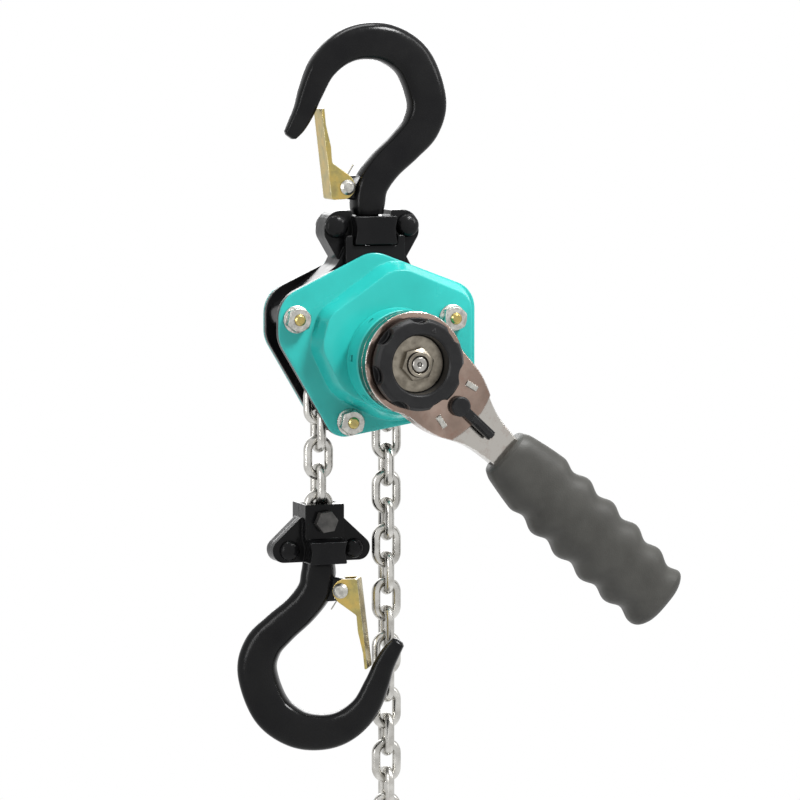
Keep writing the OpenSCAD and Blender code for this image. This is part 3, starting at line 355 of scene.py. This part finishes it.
# Each ring is a soft circle square to the centre line, stretched to a share of the station's size,
# so that the smooth skin stays within the faceted solid. The last ring is a smaller copy a little
# farther on, which blunts the nose
def hookRings(s):
    line = splineTable(s["stations"], s["stepsPerSpan"])
    along = np.gradient(line[:, :2], axis=0)
    along /= np.linalg.norm(along, axis=1)[:, None]
    across, deep = softCircle(s["around"], s["squareness"])
    wide = s["share"] * across * line[:, None, 2] / 2
    x = line[:, None, 0] + along[:, None, 1] * wide
    z = line[:, None, 1] - along[:, None, 0] * wide
    y = s["share"] * deep * line[:, None, 3] / 2
    rings = np.stack([x, y, z], -1)
    middle = rings[-1].mean(0)
    nose = middle + (rings[-1] - middle) * s["noseShare"]
    nose[:, [0, 2]] += along[-1] * s["noseReach"]
    return np.concatenate([rings, nose[None]]) * mm


# Lug that carries the latch: a slice between two flat cheeks, softened along both rims
def hookLugRings(s):
    outline = roundedOutline(s["lug"], s["lugSteps"])
    middle = outline.mean(0)
    rings = []
    for level, share in s["lugLevels"]:
        flat = middle + (outline - middle) * share
        rings.append(np.stack([flat[:, 0], np.full(len(flat), level), flat[:, 1]], 1))
    return np.array(rings) * mm


# Round shank below the forging, where the swivel collar grips: one circle for each row
def hookShankRings(s):
    angle = np.linspace(0, 2 * np.pi, s["shankAround"], endpoint=False)
    return np.array([np.stack([np.cos(angle) * radius, np.sin(angle) * radius, np.full(len(angle), level)], 1)
                     for radius, level in s["shank"]]) * mm


# The forging is drawn where the top hook is
def placeTop(points):
    return points


# Upside down, turned about the shank, and moved to the lower hook's seat
def placeBottom(points):
    turn = math.radians(hookSettings["bottomTurn"])
    x, y, z = -points[..., 0], points[..., 1], -points[..., 2]
    return np.stack([math.cos(turn) * x - math.sin(turn) * y + bottomSeat[0],
                     math.sin(turn) * x + math.cos(turn) * y, z + bottomSeat[2]], -1)


seats = {mount["name"]: mount["pos_m"] for mount in frame["record"]["mounts"]}
bottomSeat = seats["bottom_hook_seat"]
for label, place, body in (("top", placeTop, "hook_top"), ("bottom", placeBottom, "hook_bottom")):
    for part, ringsOf, node in (("Forging", hookRings, label + "_hook"), ("Lug", hookLugRings, None),
                                ("Shank", hookShankRings, None)):
        addSkin(label + "Hook" + part, place(ringsOf(hookSettings)), blackPaint, body, node)
print("hooks forged")


# Three outlines of the pressing, each corner across, up and radius; the levels are depths to the
# front, and the bends say how softly flange edge, foot and shoulder are rounded
coverSettings = {
    "flange": [(-1.5, -82.5, 14), (45.8, -100.3, 12), (45.8, -154, 12), (-19.3, -164.6, 9),
               (-44.8, -121.5, 14), (-44.8, -103.2, 14)],
    "foot": [(6, -85.5, 16), (43.6, -100.2, 11), (43.4, -150, 14), (5, -158.6, 26), (-21, -145.5, 20),
             (-31.5, -124, 13), (-27, -108.5, 12)],
    "shoulder": [(6.5, -89, 14), (40.8, -103, 9), (40.6, -147, 12), (5, -155.6, 24), (-18.6, -143.2, 18),
                 (-28.6, -124, 11), (-24.6, -110, 10)],
    "middle": (8, -123), "around": 720, "cornerSteps": 14, "plate": 11, "flangeFront": 12.5, "top": 22,
    "bends": [0.5, 0.22, 0.32], "bendSteps": 9, "footInset": 0.3, "innerReach": 8}


# Radial skin about the cover's middle: a point keeps its direction from ring to ring, and its
# reach runs from the flange's outline over the foot and the shoulder to a small inner circle. The
# profile's first number counts these stretches: 0 to 1 flange, 1 to 2 wall, 2 to 3 face
def coverRings(s):
    angles = np.linspace(0, 2 * np.pi, s["around"], endpoint=False)
    middle = np.array(s["middle"])
    flange, foot, shoulder = (reachOf(roundedOutline(s[key], s["cornerSteps"]), middle, angles)
                              for key in ("flange", "foot", "shoulder"))
    foot = np.minimum(foot, flange - s["footInset"])
    corners = [(0, s["plate"]), (0, s["flangeFront"]), (1, s["flangeFront"]), (2, s["top"]), (3, s["top"])]
    rings = []
    for part, level in softenLine(corners, s["bends"], s["bendSteps"]):
        if part <= 1:
            reach = flange + (foot - flange) * part
        elif part <= 2:
            reach = foot + (shoulder - foot) * (part - 1)
        else:
            reach = shoulder * (1 - (part - 2)) + s["innerReach"] * (part - 2)
        rings.append(np.stack([middle[0] + reach * np.cos(angles), np.full(len(angles), -level),
                               middle[1] + reach * np.sin(angles)], 1))
    return np.array(rings) * mm


addSkin("frontCoverPressing", coverRings(coverSettings), tealPaint, "frame", "front_cover",
        capStart=False)
print("front cover pressed")


# Start and end are distances from the drive shaft, sizes are in millimetres, and what is named a
# share is a share of the grip's length
gripSettings = {
    "start": 59.4, "end": 161, "middle": 40.25, "shaft": (5.6, -129.79), "angle": 42.9, "rings": 240,
    "around": 72, "squareness": 0.8, "neckHalf": 12.4, "swell": 4.8, "swellShare": 0.34, "taper": 1.6,
    "taperShare": 0.3, "halfDepth": 9.2, "depthSwell": 1.6, "roundShare": 0.045, "startRound": 0.16,
    "endRound": 0.5, "fingers": 5, "fingerDepth": 2.4, "firstFinger": 0.262, "fingerPitch": 0.1526,
    "sideShift": 0.028}


# Five hollows, each a squared cosine of the place along the grip
def fingerHollow(s, t):
    first, pitch = s["firstFinger"], s["fingerPitch"]
    inside = (t >= first - pitch / 2) & (t <= first + (s["fingers"] - 0.5) * pitch)
    return np.where(inside, -s["fingerDepth"] * np.cos(np.pi * (t - first) / pitch) ** 2, 0)


# 1 along the middle; near each end the root of one less a share of a square, as on a round end
def roundedEnds(s, t):
    span = s["roundShare"]
    start = np.sqrt(np.clip(1 - (1 - t / span) ** 2 * s["startRound"], 0, 1))
    end = np.sqrt(np.clip(1 - ((t - (1 - span)) / span) ** 2 * s["endRound"], 0, 1))
    return np.where(t < span, start, np.where(t > 1 - span, end, 1))


# Ring t of the grip: half width and half thickness swell by a quarter and a half sine and round
# off at both ends, each side has finger hollows of its own, and the ring is a soft circle. Across
# the lever is v, along it is u, and both are turned by its angle
def gripRings(s):
    t = 0.5 - 0.5 * np.cos(np.linspace(0, np.pi, s["rings"]))
    ends = roundedEnds(s, t)
    swell = s["swell"] * np.sin(np.pi / 2 * np.minimum(1, t / s["swellShare"]))
    taper = s["taper"] * np.maximum(0, (t - (1 - s["taperShare"])) / s["taperShare"])
    plain = (s["neckHalf"] + swell - taper) * ends
    depth = (s["halfDepth"] + s["depthSwell"] * np.sin(np.pi * t)) * ends
    across, deep = softCircle(s["around"], s["squareness"])
    upper, lower = plain + fingerHollow(s, t - s["sideShift"]), plain + fingerHollow(s, t)
    width = np.where(across[None, :] > 0, upper[:, None], lower[:, None])
    u = np.broadcast_to((s["start"] + (s["end"] - s["start"]) * t)[:, None], width.shape)
    v = width * across
    turn = math.radians(s["angle"])
    x = s["shaft"][0] + u * math.cos(turn) + v * math.sin(turn)
    z = s["shaft"][1] - u * math.sin(turn) + v * math.cos(turn)
    return np.stack([x, -s["middle"] + depth[:, None] * deep, z], -1) * mm


addSkin("leverGripMoulding", gripRings(gripSettings), greyRubber, "lever", "lever_grip")
print("grip moulded")


# Each lamp is its name, place, size and power, and faces the middle
roomSettings = {
    "sky": 0.22, "skyTone": (0.92, 0.95, 1, 1), "middle": (0, 0, -0.15),
    "floorLevel": -0.62, "floorReach": 6, "floorTone": (0.93, 0.93, 0.93, 1), "floorRough": 0.9,
    "glowNear": 0.55, "glowFrom": 0.55, "glowTo": 1.5,
    "lamps": [
        ("keyLight", (0.5, -0.62, 0.78), (0.3, 0.3), 21), ("sideLight", (1.1, -0.7, 0.5), (0.2, 0.7), 5),
        ("edgeLight", (-1.1, -0.5, 0.1), (0.16, 0.9), 5), ("topLight", (0.0, 0.1, 0.9), (0.6, 0.4), 9),
        ("backLight", (0.3, 1.1, 0.2), (0.8, 0.8), 7)]}


# Rectangular lamp that faces the middle
def addAreaLight(name, place, size, power):
    light = bpy.data.lights.new(name, "AREA")
    light.shape, light.size, light.size_y, light.energy = "RECTANGLE", size[0], size[1], power
    lamp = bpy.data.objects.new(name, light)
    bpy.context.scene.collection.objects.link(lamp)
    lamp.location = place
    aim = Vector(roomSettings["middle"]) - Vector(place)
    lamp.rotation_euler = aim.to_track_quat("-Z", "Y").to_euler()


# 1 for a ray from the camera, or one that a gloss or a clear piece has passed on
def seenRay(tree):
    seen = [addNode(tree, "ShaderNodeLightPath", output=kind)
            for kind in ("Is Camera Ray", "Is Glossy Ray", "Is Transmission Ray")]
    return seen[0].maths("MAXIMUM", seen[0], seen[1].maths("MAXIMUM", seen[1], seen[2]))


# White to the camera, also where it is mirrored or seen through; a soft grey light to all else
def addSky(s):
    world = bpy.data.worlds.new("studio")
    bpy.context.scene.world = world
    world.use_nodes = True
    tree = world.node_tree
    light = addNode(tree, "ShaderNodeBackground", {}, {"Color": s["skyTone"], "Strength": s["sky"]})
    white = addNode(tree, "ShaderNodeBackground", {}, {"Color": (1, 1, 1, 1), "Strength": 1.0})
    mix = addNode(tree, "ShaderNodeMixShader", {}, {0: seenRay(tree), 1: light, 2: white})
    plug(tree, mix, tree.nodes["World Output"].inputs["Surface"])


# Pale floor that takes a faint shadow below the hoist and glows white farther out, so that it
# meets the sky without an edge
def addFloor(s):
    finish = bpy.data.materials.new("paleFloor")
    finish.use_nodes = True
    tree = finish.node_tree
    shader = tree.nodes["Principled BSDF"]
    shader.inputs["Base Color"].default_value = s["floorTone"]
    shader.inputs["Roughness"].default_value = s["floorRough"]
    place = addNode(tree, "ShaderNodeTexCoord", output="Object")
    distance = addNode(tree, "ShaderNodeVectorMath", {"operation": "LENGTH"}, {0: place}, "Value")
    share = distance.between(s["glowFrom"], s["glowTo"]) * (1 - s["glowNear"]) + s["glowNear"]
    glow = addNode(tree, "ShaderNodeEmission")
    mix = addNode(tree, "ShaderNodeMixShader", {}, {0: seenRay(tree) * share, 1: Wire(tree, shader), 2: glow})
    plug(tree, mix, tree.nodes["Material Output"].inputs["Surface"])
    reach, level = s["floorReach"], s["floorLevel"]
    corners = [(-reach, -reach, level), (reach, -reach, level), (reach, reach, level), (-reach, reach, level)]
    mesh = bpy.data.meshes.new("floor")
    mesh.from_pydata(corners, [], [(0, 1, 2, 3)])
    mesh.materials.append(finish)
    floor = bpy.data.objects.new("floor", mesh)
    bpy.context.scene.collection.objects.link(floor)


# Degrees, metres for the aim, and millimetres for lens and sensor
cameraSettings = {
    "azimuth": -20, "elevation": 5, "aimRight": 0.0144, "aimUp": -0.1485, "pixelsPerMetre": 2290,
    "pixels": 800, "lens": 200, "sensor": 36, "clipStart": 0.05}


# A long lens, as far back as makes the picture's scale the given one at the hoist
def addCamera(s):
    azimuth, elevation = math.radians(s["azimuth"]), math.radians(s["elevation"])
    back = Vector((math.sin(azimuth) * math.cos(elevation), -math.cos(azimuth) * math.cos(elevation),
                   math.sin(elevation)))
    right = Vector((math.cos(azimuth), math.sin(azimuth), 0))
    up = back.cross(right)
    aim = right * s["aimRight"] + up * s["aimUp"]
    distance = s["pixels"] / s["pixelsPerMetre"] / s["sensor"] * s["lens"]
    data = bpy.data.cameras.new("camera")
    data.lens, data.sensor_width, data.clip_start = s["lens"], s["sensor"], s["clipStart"]
    camera = bpy.data.objects.new("camera", data)
    bpy.context.scene.collection.objects.link(camera)
    camera.location = aim + back * distance
    camera.rotation_mode = "QUATERNION"
    camera.rotation_quaternion = (-back).to_track_quat("-Z", "Y")
    bpy.context.scene.camera = camera


addSky(roomSettings)
addFloor(roomSettings)
for lamp in roomSettings["lamps"]:
    addAreaLight(*lamp)
addCamera(cameraSettings)
bpy.context.scene.view_settings.view_transform = "Standard"
print("room lit")
